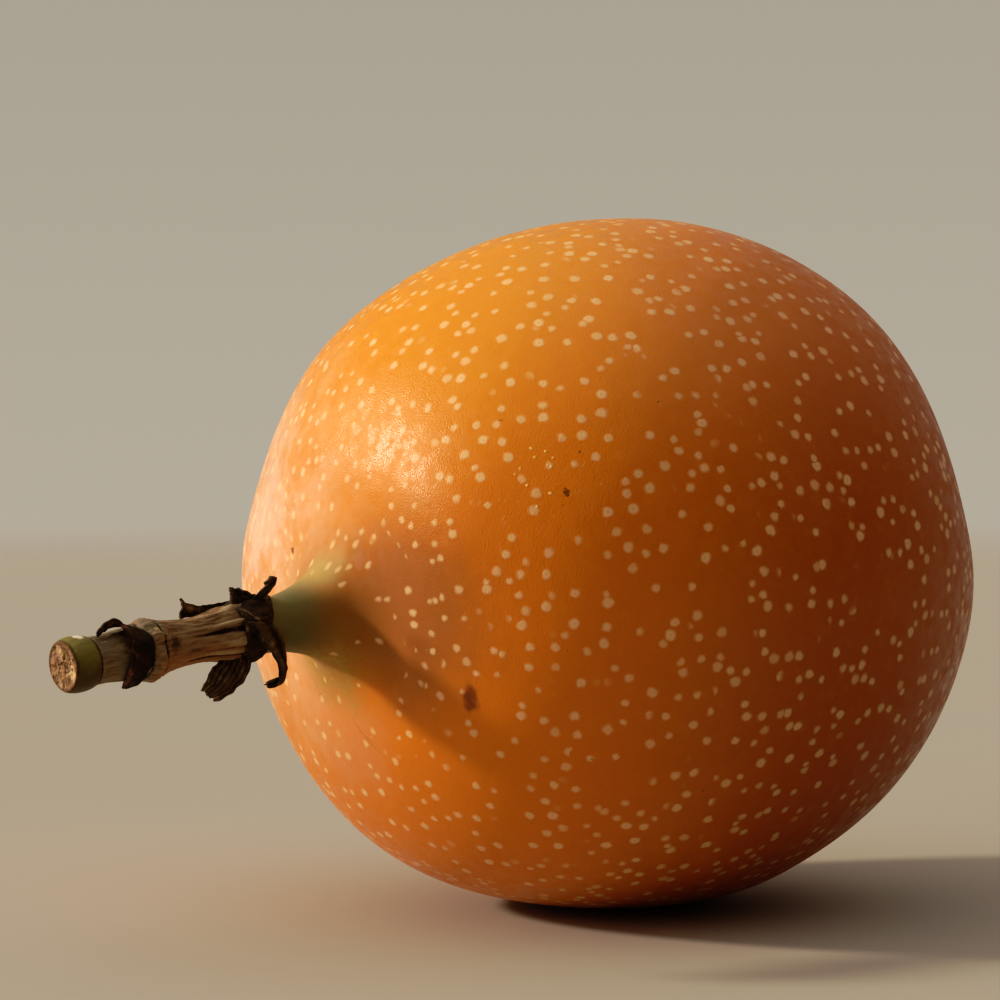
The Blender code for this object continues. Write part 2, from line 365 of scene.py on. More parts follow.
def rind_finish():
    material, shader, start = new_finish(
        "waxy_rind",
        ORANGE,
        IOR=1.45,
        Specular_IOR_Level=0.4,
        Subsurface_Weight=0.2,
        Subsurface_Radius=(1.0, 0.35, 0.08),
        Subsurface_Scale=2.0 * MM,
        Sheen_Weight=0.08,
        Sheen_Roughness=0.5,
        Sheen_Tint=(1.0, 0.88, 0.78, 1),
    )
    place = start.node("TexCoord", out=3)
    young = start.node("Attribute", {"attribute_name": "young_skin"}, out=1)
    mottle = place.clouds(1.3, 4, 0.6)
    soft = place.clouds(4.5, 3, 0.55) * 2 - 1

    # Skin: orange, golden above and redder towards the blossom end, with bloom and a flush by the neck. The
    # golden upper side is partly painted light and the redder blossom end partly painted shade; the bloom
    # is partly painted sheen and the flush partly painted shade.
    colour = (place.clouds(30, 1).rise(0.35, 0.7) * 0.3).mix(ORANGE, DEEP_ORANGE)
    # Golden on the upper side that faces the lamp: partly the skin's own tone, partly painted light.
    colour = (place.from_place(LIT_GOLD_SIDE).rise(33, 6) * 0.75).mix(colour, GOLD)
    # Redder and darker towards the blossom end and -Y, on the shaded side: painted shade, partly the skin's
    # own riper tone.
    colour = ((place.from_place(SHADED_RED_SIDE) + soft * 2).rise(44, 19) * 0.85).mix(colour, SHADED_RED_ORANGE)
    colour = (mottle.rise(0.5, 0.8) * 0.16).mix(colour, GOLD)
    colour = (mottle.rise(0.5, 0.2) * 0.16).mix(colour, DEEP_ORANGE)
    # A pale pink-white patch towards the stalk side: partly the skin's waxy bloom, partly painted sheen
    # along the lit edge.
    bloom_and_sheen = (place.from_place(BLOOM_AND_SHEEN_SIDE) + soft * 6).rise(24, 2)
    worn_away = (place.clouds(9, 4, 0.6) + mottle * 0.6).rise(0.65, 1.0) * 0.6
    colour = (bloom_and_sheen * (1 - worn_away) * 0.75).mix(colour, BLOOM_AND_SHEEN)
    rosy = (place.from_place(ROSY_BELOW) + soft * 4).rise(9, 2)
    colour = (rosy * 0.36).mix(colour, ROSE)
    # A dusky rose-brown flush where the neck rises from the body: partly the skin's own flush, partly
    # painted shade from the neck's shadow.
    dusky_and_shade = (place.from_place(SHADED_ROSY_FLARE) + soft * 2.5).rise(12, 3)
    colour = (dusky_and_shade * 0.85).mix(colour, DUSKY_SHADE_ROSE)

    # Neck: dusky brown where it rises from the body, lime on top, olive below, green at its end. The lime
    # on top is partly painted light along the neck's lit ridge.
    down_neck = place.from_place(NECK_MOUTH) + soft * 1.2
    colour = (down_neck.rise(12, 5) * 0.85).mix(colour, NECK_BROWN)
    # Lime streak along the top of the flare: partly its own yellow-green, partly painted light.
    lime_and_light = (place.from_place(LIT_LIME_FLARE) + soft * 1.2).rise(4.2, 0.8)
    colour = (lime_and_light * 0.7).mix(colour, LIT_NECK_LIME)
    streaks = place.clouds(0.9, 3, 0.6, 1.0).rise(0.35, 0.6) * 0.5 + 0.4
    olive = (place.from_place(OLIVE_FLARE) + soft * 2).rise(6.5, 2) * streaks
    colour = olive.mix(colour, NECK_OLIVE)
    colour = (down_neck.rise(6, 2) * 0.85).mix(colour, NECK_GREEN)

    # Spots: round but uneven pores with soft edges, each with its own size and paleness
    wobble = young.clouds(0.6, 1, out=1).vector("SUBTRACT", (0.5, 0.5, 0.5)).scaled(0.34 * MM)
    skin = young.vector("ADD", wobble)
    cell = skin.cells(SPOT_SPACING, 0.75)
    lot = cell.also(1)
    middle = cell.also(2)
    outwards = young.vector("SUBTRACT", (0, 0, YOUNG_CENTRE * MM)).vector("NORMALIZE", (0, 0, 0))
    to_middle = middle.vector("SUBTRACT", skin)
    apart = to_middle.vector("LENGTH", (0, 0, 0), out=1) / MM
    below = to_middle.vector("DOT_PRODUCT", outwards, out=1) / MM
    reach = (apart**2 - below**2 + 0.0001) ** 0.5
    size = (lot.split(0) * 0.4 + 0.6) * (down_neck.rise(6, 34) * 0.3 + 0.8)
    thick = (place.clouds(9, 1).rise(0.2, 0.8) * 0.3 + 0.75) * down_neck.rise(3.5, 9)
    present = (thick - lot.split(1)).rise(0, 0.05)
    depth = middle.vector("SUBTRACT", young).vector("DOT_PRODUCT", outwards, out=1) / MM
    present = present * (depth**2).rise(SPOT_DEPTH**2 + 0.03, SPOT_DEPTH**2 - 0.03)
    spot = (size * SPOT_RADIUS - reach).rise(-0.16, 0.18) * present
    paleness = lot.split(2) * 0.25 + 0.52
    colour = (spot * paleness).mix(colour, CREAM)
    pore = reach.rise(0.2, 0.06) * (lot.split(2) - 0.65).rise(0, 0.05) * present
    colour = (pore * 0.25).mix(colour, ORANGE)

    # Age: a reddish bruise, freckles, dark marks, fine creases and scuffs of dry, golden wax, whose bright
    # flecks are partly painted glints.
    uneven = place.clouds(1.1, 3) * 2 - 1
    tall = place.vector("SUBTRACT", tuple(BRUISE * MM)).vector("MULTIPLY", (1, 1, 0.5))
    bruise = (tall.vector("LENGTH", (0, 0, 0), out=1) / MM + uneven * 0.6).rise(1.0, 0.3)
    colour = (bruise * 0.8).mix(colour, BRUISE_RED)
    ragged = place.clouds(0.35, 2) * 2 - 1
    for mark, width in DARK_MARKS:
        from_mark = place.from_place(CENTRE + Vector(mark)) + ragged * width * 1.6
        colour = (from_mark.rise(width + 0.08, width - 0.08) * 0.75).mix(colour, FRECKLE_BROWN)
    scratch = place.vector("SUBTRACT", tuple(SCRATCH * MM))
    scratch = scratch.vector("MULTIPLY", (0.25, 0.25, 1)).vector("LENGTH", (0, 0, 0), out=1) / MM
    colour = (scratch.rise(0.12, 0.06) * 0.8).mix(colour, FRECKLE_BROWN)
    scar = (place.from_place(BLOSSOM_END) + uneven * 0.4).rise(1.1, 0.6)
    colour = (scar * 0.85).mix(colour, FRECKLE_BROWN)
    pale_ring = place.from_place(BLOSSOM_END) + uneven * 1.5
    colour = (pale_ring.rise(4.5, 1.5) * pale_ring.rise(1.0, 1.6) * 0.35).mix(colour, GOLD)
    old = place.cells(4.1)
    freckle = (old * 4.1 + ragged * 0.06).rise(0.14, 0.06)
    colour = (freckle * 0.55).mix(colour, FRECKLE_BROWN)
    # Bright gold flecks near the shine: partly dry wax and dust, partly painted glints.
    flake = place.cells(0.7).rise(0.3, 0.16) * place.clouds(0.9, 2).rise(0.52, 0.6)
    scuff_and_glint = flake * (place.from_place(GLINT_SCUFFS) + uneven * 3).rise(5, 1.5)
    colour = scuff_and_glint.mix(colour, SCUFF_GLINT_GOLD)
    crease = 0
    for middle, radius, arc, length in CREASES:
        across = place.from_place(CENTRE + Vector(middle)) + soft * 0.5 - radius
        line = (across**2).rise(0.03, 0.0)
        crease = line * place.from_place(CENTRE + Vector(arc)).rise(length, length - 2.5) + crease
    colour = (crease * 0.35).mix(colour, NECK_BROWN)

    # Wax: a fine grain, shallow dents and scuffs that break up the shine, dull towards the neck
    grain = place.clouds(0.14, 1, 0.6)
    dents = place.clouds(2.6, 3, 0.5)
    dull = down_neck.rise(16, 9)
    rubbed = place.clouds(1.6, 3, 0.65).rise(0.42, 0.6) * 0.2
    roughness = 0.28 + rubbed + spot * 0.1 + dull * 0.34
    height = dents * 0.06 + grain * (0.036 - dull * 0.03) + spot * 0.015
    height = height + scuff_and_glint * 0.05 - crease * 0.03 + scar * 0.25
    feed(shader, Base_Color=colour, Roughness=roughness, Normal=height.bump(1.0, 1.0))
    return material


whole_rind = shape_rind()
whole_rind.data.materials.append(rind_finish())
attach(whole_rind, "root")
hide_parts("fruit")

# ----------------------------------------------------------------------------------------------
# Flower collar
# The dried, black-brown remains of the flower's cup: a thin crumpled band grown fast round the end
# of the neck, with a ragged edge that leaves more of the neck bare on the side towards -Y.
# ----------------------------------------------------------------------------------------------
STALK_DROOP = math.radians(6.2)  # the stalk hangs a little lower than the fruit's own axis
STALK_TURN = math.radians(-5.4)
stem_turn = Euler((0, -math.pi / 2 - STALK_DROOP, STALK_TURN), "ZYX").to_matrix()
# On the stalk, a place is (upwards, away from -Y, outwards from the neck's end) in millimetres
stem_place = Matrix.Translation(NECK_MOUTH * MM) @ stem_turn.to_4x4() @ Matrix.Scale(MM, 4)

COLLAR_END = 5.0
COLLAR_RINGS = [
    (2.54, 0),
    (2.68, 0.6),
    (2.76, 1.5),
    (2.76, 2.5),
    (2.7, 3.5),
    (2.62, 4.3),
    (2.44, 5.0),
    (2.24, 4.8),
    (2.15, 3.6),
    (2.25, 2.0),
    (2.4, 0.2),
]


def select_only(piece):
    bpy.ops.object.select_all(action="DESELECT")
    piece.select_set(True)
    bpy.context.view_layer.objects.active = piece


def draw_out(name, segments, rings):
    """Draw a circle out along the stalk, through a ring of each (radius, distance outwards)."""
    radius, out = rings[0]
    bpy.ops.object.select_all(action="DESELECT")
    bpy.ops.mesh.primitive_circle_add(vertices=segments, radius=radius, location=(0, 0, out))
    piece = bpy.context.active_object
    piece.name = piece.data.name = name
    bpy.ops.object.transform_apply(location=True, rotation=False, scale=False)
    bpy.ops.object.mode_set(mode="EDIT")
    bpy.ops.mesh.select_all(action="SELECT")
    for next_radius, next_out in rings[1:]:
        step = {"value": (0, 0, next_out - out)}
        bpy.ops.mesh.extrude_region_move(TRANSFORM_OT_translate=step)
        share = next_radius / radius
        bpy.ops.transform.resize(value=(share, share, 1))
        radius, out = next_radius, next_out
    return piece


def refine(piece, levels):
    """Leave edit mode and divide the faces smoothly."""
    bpy.ops.mesh.select_all(action="SELECT")
    bpy.ops.mesh.normals_make_consistent(inside=False)
    bpy.ops.object.mode_set(mode="OBJECT")
    smooth = piece.modifiers.new("smooth", "SUBSURF")
    smooth.levels = smooth.render_levels = levels
    bpy.ops.object.modifier_apply(modifier="smooth")
    bpy.ops.object.shade_smooth()


def sculpt(piece, shape):
    """Move every point by shape, which also says how far it is a crease (-1) or a ridge (1)."""
    ridge = piece.data.attributes.new("ridge", "FLOAT", "POINT")
    for vertex in piece.data.vertices:
        vertex.co, ridge.data[vertex.index].value = shape(vertex.co)


def set_on_stem(piece):
    """Put a piece modelled along +Z in its place on the stalk."""
    select_only(piece)
    piece.matrix_world = stem_place
    bpy.ops.object.transform_apply(location=True, rotation=True, scale=True)


def bearing(place):
    """Degrees round the stalk, from the top at 0 to the side towards -Y at 90."""
    return math.degrees(math.atan2(-place.y, place.x))


def hump(value, middle, width):
    return math.exp(-(((value - middle) / width) ** 2))


def round_hump(angle, middle, width):
    return hump((angle - middle + 180) % 360 - 180, 0, width)


def bare_neck(angle):
    """How far out the collar's ragged edge is, round the neck."""
    angle = math.radians(angle)
    ragged = 0.12 * noise.noise(Vector((3 * math.cos(angle), 3 * math.sin(angle), 5)))
    return 1.2 - 0.7 * math.cos(angle) + 1.15 * math.sin(angle) + ragged


def collar_shape(place):
    angle = bearing(place)
    edge = bare_neck(angle)
    out = edge + (COLLAR_END - edge) * place.z / COLLAR_END
    crumple = noise.noise(Vector((place.x * 0.9, place.y * 0.9, out * 0.7)) + Vector((7, 0, 0)))
    pleat = noise.noise(Vector((place.x * 2.2, place.y * 2.2, out * 0.5)))
    pleat = 1 - 3 * abs(pleat)
    # A thin raised edge runs from the top at the stalk end down the near side to the neck
    seam = 1.5 * hump(out, 5.5 - 0.03 * angle, 0.14) if 5 < angle < 105 else 0
    grain = noise.noise(place * 5)
    end = 1.2 * hump(out, COLLAR_END, 0.3) * (0.5 + noise.noise(place * 1.4))
    lift = 0.16 * crumple + 0.07 * pleat + 0.14 * min(seam, 1) + 0.03 * grain
    outwards = Vector((place.x, place.y, 0)).normalized()
    shaped = Vector((place.x, place.y, out)) + outwards * lift
    return shaped, 0.4 * pleat + 0.3 * grain + 0.9 * seam + end


flower_collar = draw_out("collar", 32, COLLAR_RINGS)
bpy.ops.mesh.select_all(action="DESELECT")
bpy.ops.mesh.select_non_manifold()
bpy.ops.mesh.bridge_edge_loops()
refine(flower_collar, 2)
sculpt(flower_collar, collar_shape)
set_on_stem(flower_collar)

CREASE_SHADE_BLACK = (0.03, 0.02, 0.012)
CUP_BROWN = (0.045, 0.027, 0.016)
DRY_BROWN = (0.105, 0.07, 0.04)
DRY_TAN = (0.32, 0.21, 0.115)


def stem_coordinates(start):
    """Object coordinates turned and moved on to the stalk."""
    turn = stem_place.to_euler()
    inputs = {"Vector": start.node("TexCoord", out=3), "Location": stem_place.translation, "Rotation": turn}
    return start.node("Mapping", {"vector_type": "TEXTURE"}, inputs)


def dry_flower_finish(name, brown, tan, tan_share):
    """Dead flower leaf: nearly black in its creases, painted shade; brown between; and tan along its
    ridges, partly wear and partly painted highlight.
    """
    material, shader, start = new_finish(name, brown, IOR=1.4, Specular_IOR_Level=0.35)
    place = start.node("TexCoord", out=3)
    ridge = start.node("Attribute", {"attribute_name": "ridge"}, out=2)
    dust = place.clouds(0.35, 3, 0.65)
    blotch = place.clouds(1.4, 2)
    # Black in the creases is painted shade; tan on the ridges is partly wear, partly painted highlight.
    wear_and_shading = ridge + (dust - 0.5) * 1.2
    colour = wear_and_shading.rise(-0.7, 0.3).mix(CREASE_SHADE_BLACK, brown)
    colour = (wear_and_shading.rise(0.5, 1.1) * blotch.rise(0.3, 0.6) * tan_share).mix(colour, tan)
    specks = (place.cells(0.8) * 0.8).rise(0.1, 0.04)
    colour = (specks * 0.5).mix(colour, tan)
    veins = place.clouds(0.5, 4, 0.6, 2.0)
    veins = ((veins - 0.5) ** 2).rise(0.0004, 0.0) * blotch.rise(0.45, 0.65)
    colour = (veins * 0.5).mix(colour, tan)
    roughness = 0.5 + dust * 0.35
    bump = (dust * 0.06 + place.clouds(0.12, 1) * 0.02).bump(1.0, 1.0)
    feed(shader, Base_Color=colour, Roughness=roughness, Normal=bump)
    return material


flower_collar.data.materials.append(dry_flower_finish("dried_flower_cup", CUP_BROWN, DRY_TAN, 0.7))
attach(flower_collar, "root")
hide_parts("flower_collar")

# ----------------------------------------------------------------------------------------------
# Stalk
# One dry woody piece: the flower's ribbed base, the lumpy ring of the joint, a narrow grey-brown
# waist, and the thicker green end with its cut face of dry pith. It stands in the collar.
# ----------------------------------------------------------------------------------------------
JOINT = 13.6
GREEN_START = 19.4
CUT_FACE = 21.7
STALK_RINGS = [
    (1.2, 2.4),
    (2.1, 2.5),
    (2.22, 3.2),
    (2.3, 4.2),
    (2.3, 5.2),
    (2.18, 6.2),
    (2.05, 7.1),
    (1.95, 8.0),
    (1.93, 9.0),
    (1.98, 10.0),
    (2.08, 11.0),
    (2.2, 12.0),
    (2.4, 12.7),
    (2.68, 13.2),
    (2.72, 13.9),
    (2.5, 14.5),
    (2.28, 15.1),
    (2.2, 15.9),
    (2.12, 16.8),
    (2.02, 17.7),
    (1.99, 18.6),
    (2.05, 19.2),
    (2.22, 19.6),
    (2.34, 20.1),
    (2.4, 20.6),
    (2.38, 21.2),
    (2.28, 21.7),
    (2.12, 21.98),
    (1.94, 22.0),
    (1.76, 21.88),
    (1.1, 21.82),
    (0.5, 21.8),
]
# Ribs of the flower's dried base: bearing, width, height at the collar, and how far out they reach
RIBS = [
    (14, 17, 0.4, 11),
    (53, 5, 0.34, 10.8),
    (98, 9, 0.2, 10),
    (121, 6, 0.14, 11.5),
    (146, 9, 0.26, 10.5),
    (186, 13, 0.24, 10.0),
    (232, 14, 0.3, 9.5),
    (285, 12, 0.34, 9.5),
    (328, 10, 0.3, 10.0),
]
GROOVES = [(67, 9, 0.36, 10.6), (110, 3, 0.1, 11), (133, 4, 0.16, 12), (166, 5, 0.16, 11.5)]


def stalk_shape(place):
    angle, out = bearing(place), place.z
    radius = math.hypot(place.x, place.y)
    rim = smooth_step(radius, 0.9, 1.8)
    outwards = Vector((place.x, place.y, 0)).normalized()
    lift, ridge = 0, 0
    for middle, width, height, reach in RIBS:
        share = round_hump(angle, middle, width) * (1 - smooth_step(out, 3.5, reach))
        lift += height * share
        ridge += 1.2 * share if width > 6 else 2.4 * share
    for middle, width, depth, reach in GROOVES:
        narrow = width * (1 - 0.6 * smooth_step(out, 4, reach))
        share = round_hump(angle, middle, narrow) * (1 - smooth_step(out, reach - 3, reach))
        lift -= depth * share
        ridge -= 1.4 * share
    # The joint is a lumpy ring between two cracks that wander round it
    wander = 0.3 * noise.noise(outwards * 1.3 + Vector((0, 0, 2)))
    lumps = noise.noise(outwards * 1.9) + 0.6 * noise.noise(outwards * 4 + Vector((0, 0, out)))
    lift += 0.3 * lumps * hump(out, JOINT, 0.9)
    for crack, depth in ((13.15 + wander, 0.22), (14.6 - wander, 0.16), (GREEN_START, 0.12)):
        share = hump(out, crack, 0.13)
        lift -= depth * share
        ridge -= 1.3 * share
    # Fine wrinkles run along it, and finer ones round the waist
    along = noise.noise(Vector((place.x * 2.4, place.y * 2.4, out * 0.35)))
    along = 1 - 3.2 * abs(along)
    dry = 1 - smooth_step(out, GREEN_START - 0.3, GREEN_START + 0.3)
    lift += (0.05 * along + 0.03 * noise.noise(place * 2.6)) * (0.3 + 0.7 * dry)
    ridge += 0.45 * along * dry
    shaped = place + outwards * lift * rim
    pith = smooth_step(out, CUT_FACE, CUT_FACE + 0.1) * (1 - smooth_step(radius, 1.6, 2.0))
    rough = noise.noise(place * 1.9) + 0.7 * noise.noise(place * 4.5)
    shaped.z += 0.12 * rough * pith
    ridge += rough * pith
    return shaped, max(min(ridge, 1.5), -1.5)


stalk = draw_out("dry_stalk", 24, STALK_RINGS)
bpy.ops.mesh.edge_face_add()
bpy.ops.mesh.poke()
bpy.ops.mesh.select_all(action="DESELECT")
bpy.ops.mesh.select_non_manifold()
bpy.ops.mesh.edge_face_add()
bpy.ops.mesh.poke()
refine(stalk, 3)
sculpt(stalk, stalk_shape)
set_on_stem(stalk)

BARK_TAN = (0.36, 0.245, 0.14)
BARK_WEAR_HIGHLIGHT = (0.56, 0.43, 0.26)
BARK_BROWN = (0.2, 0.115, 0.06)
BARK_RED = (0.42, 0.21, 0.095)
BARK_GREY = (0.26, 0.21, 0.145)
BARK_SHADE_AND_STAIN = (0.028, 0.018, 0.013)
LIT_CUT_GREEN = (0.24, 0.2, 0.055)
SHADED_CUT_OLIVE = (0.105, 0.08, 0.03)
PITH = (0.42, 0.25, 0.12)
PITH_PALE = (0.85, 0.63, 0.36)
PITH_PINK = (0.36, 0.2, 0.13)
PITH_BROWN = (0.17, 0.085, 0.045)
WAX_YELLOW = (0.5, 0.42, 0.2)
SCRAPED_WHITE = (0.85, 0.8, 0.66)
# Places on the stalk: the lump on top of the joint, a dark stain, two drops of wax and the scrape
LUMP_TOP = (2.4, -0.6, JOINT)
STAIN = (0.7, -2.1, 12.0)
WAX_DROPS = [(2.0, -1.5, 13.5), (1.7, -1.85, 13.3)]
SCRAPE = (2.35, -0.2, 20.5)


def bark_finish():
    material, shader, start = new_finish("dry_bark", BARK_TAN, IOR=1.45, Specular_IOR_Level=0.35)
    stem = stem_coordinates(start)
    up, away, out = (stem.split(axis) / MM for axis in range(3))
    ridge = start.node("Attribute", {"attribute_name": "ridge"}, out=2)
    streaks = stem.vector("MULTIPLY", (1, 1, 0.13)).clouds(0.3, 4, 0.55)
    blotch = stem.clouds(1.6, 3, 0.6)
    dust = stem.clouds(0.25, 3, 0.65)

    # Ribbed base: tan on its ridges, red-brown below, nearly black in its grooves. The pale crests are
    # partly wear and partly painted highlight, and the black in the grooves is painted shade.
    colour = streaks.rise(0.35, 0.65).mix(BARK_BROWN, BARK_TAN)
    below = (up + blotch * 1.6).rise(1.4, -0.2) * out.rise(14.4, 13.2)
    colour = (below * 0.75).mix(colour, BARK_RED)
    grey = out.rise(14.0, 14.9) * blotch.rise(0.3, 0.6)
    colour = (grey * 0.8).mix(colour, BARK_GREY)
    lump_top = (stem.from_place(LUMP_TOP) + blotch * 1.5).rise(2.6, 1.4)
    colour = (lump_top * 0.8).mix(colour, BARK_GREY)
    # Pale crests: partly wear, partly painted highlight. Black grooves: painted shade. The same black also
    # marks a real stain below.
    wear_and_shading = ridge + (dust - 0.5) * 1.4
    colour = (wear_and_shading.rise(0.5, 1.2) * 0.65).mix(colour, BARK_WEAR_HIGHLIGHT)
    colour = (wear_and_shading.rise(-0.2, -1.1) * 0.88).mix(colour, BARK_SHADE_AND_STAIN)
    near_collar = (out + blotch * 2 + streaks * 1.5).rise(7.6, 6.2)
    colour = (near_collar * 0.45).mix(colour, DRY_BROWN)
    stain = (stem.from_place(STAIN) + dust * 0.8).rise(1.3, 0.5)
    colour = (stain * 0.75).mix(colour, BARK_SHADE_AND_STAIN)
    for drop in WAX_DROPS:
        wax = (stem.from_place(drop) + dust * 0.3).rise(0.5, 0.3)
        colour = wax.mix(colour, WAX_YELLOW)

    # Green end: olive below, yellower on top, with one pale fleck where the bark is scraped. The darker
    # olive below is partly painted shade and the lighter, yellower top partly painted light.
    # Darker below and lighter on top: partly painted shade and painted light on the green end's own
    # olive-green.
    green = (up + blotch * 2).rise(0.2, 2.6).mix(SHADED_CUT_OLIVE, LIT_CUT_GREEN)
    green = (dust.rise(0.62, 0.75) * 0.6).mix(green, PITH_BROWN)
    colour = out.rise(GREEN_START, GREEN_START + 0.2).mix(colour, green)
    scrape = (stem.from_place(SCRAPE) + dust * 0.5).rise(0.85, 0.6)
    colour = scrape.mix(colour, SCRAPED_WHITE)

    # Cut face: mottled dry pith inside a brown rim
    lumps = stem.clouds(0.7, 3, 0.6)
    pith = lumps.rise(0.35, 0.62).mix(PITH_BROWN, PITH)
    pith = (stem.clouds(0.8, 2).rise(0.52, 0.64) * 0.8).mix(pith, PITH_PALE)
    pith = (blotch.rise(0.5, 0.62) * 0.7).mix(pith, PITH_PINK)
    middle = (up**2 + away**2) ** 0.5 + blotch * 0.3
    pith = (middle.rise(1.85, 2.15) * 0.8).mix(pith, PITH_BROWN)
    face = out.rise(CUT_FACE - 0.05, CUT_FACE + 0.1) * middle.rise(2.4, 2.2)
    colour = face.mix(colour, pith)

    waxy = out.rise(GREEN_START, GREEN_START + 0.2) * (1 - face)
    roughness = 0.72 - waxy * 0.3 + dust * 0.15
    bump = (streaks * 0.1 + dust * 0.06 + lumps * face * 0.3) * (1 - waxy * 0.8)
    feed(shader, Base_Color=colour, Roughness=roughness, Normal=bump.bump(1.0, 1.0))
    return material


stalk.data.materials.append(bark_finish())
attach(stalk, "root")
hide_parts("stalk")

# ----------------------------------------------------------------------------------------------
# Dried sepals
# Five withered leaves of the flower, left on the collar's edge. Each dried into its own pleated
# and crumpled shape with a frayed tip, and is a thin skin with a wall of its own.
# ----------------------------------------------------------------------------------------------
LEAF_COLUMNS = 28
LEAF_ROWS = 60


def smooth_point(points, share):
    """A point on the smooth curve through points, for a share of 0 to 1 of the way along."""
    place = min(max(share, 0), 1) * (len(points) - 1)
    i = min(int(place), len(points) - 2)
    t = place - i
    before, here = points[max(i - 1, 0)], points[i]
    there, after = points[i + 1], points[min(i + 2, len(points) - 1)]
    return 0.5 * (
        2 * here
        + (there - before) * t
        + (2 * before - 5 * here + 4 * there - after) * t**2
        + (3 * here - before - 3 * there + after) * t**3
    )


def dried_leaf(name, stations, cup, pleats, depth, fraying, wall):
    """Lay a grid along stations, pleat and crumple it, fray its tip and give it a wall.

    Each station is the middle and the way from there to one edge, both as (outwards, upwards,
    towards -Y) in millimetres. cup is how far the middle bulges beyond the edges.
    """
    middles = [Vector((up, -near, out)) for (out, up, near), edge in stations]
    edges = [Vector((up, -near, out)) for middle, (out, up, near) in stations]
    bpy.ops.object.select_all(action="DESELECT")
    bpy.ops.mesh.primitive_grid_add(x_subdivisions=LEAF_COLUMNS, y_subdivisions=LEAF_ROWS, size=2)
    leaf = bpy.context.active_object
    leaf.name = leaf.data.name = name
    start = Vector((len(name), 3 * depth, 9 * cup))
    ridge = leaf.data.attributes.new("ridge", "FLOAT", "POINT")
    for vertex in leaf.data.vertices:
        across, share = vertex.co.x, (vertex.co.y + 1) / 2
        tear = noise.noise(Vector((across * 3.1, 0, 0)) + start)
        tear += 0.5 * noise.noise(Vector((across * 9, 4, 0)) + start)
        share *= 1 - fraying * (0.5 + tear)
        nibble = 1 + 0.16 * noise.noise(Vector((share * 9, across > 0, 0)) + start)
        middle, edge = smooth_point(middles, share), smooth_point(edges, share)
        ahead = smooth_point(middles, share + 0.01) - smooth_point(middles, share - 0.01)
        normal = edge.cross(ahead).normalized()
        sway = 0.25 * noise.noise(start + Vector((share * 3, 0, 0)))
        fold = math.sin((across + sway) * pleats * math.pi)
        fold *= min(edge.length / 0.6, 1)
        place = middle + edge * across * nibble
        crumple = noise.noise(place * 1.6 + start) + 0.6 * noise.noise(place * 3.7 + start)
        lift = cup * (1 - across * across) + depth * fold + 0.11 * crumple
        vertex.co = place + normal * lift
        ridge.data[vertex.index].value = fold * 0.7 + 0.8 * crumple
    skin = leaf.modifiers.new("skin", "SOLIDIFY")
    skin.thickness = wall
    skin.offset = 0
    bpy.ops.object.modifier_apply(modifier="skin")
    smooth = leaf.modifiers.new("smooth", "SUBSURF")
    smooth.levels = smooth.render_levels = 1
    bpy.ops.object.modifier_apply(modifier="smooth")
    bpy.ops.object.shade_smooth()
    set_on_stem(leaf)
    return leaf


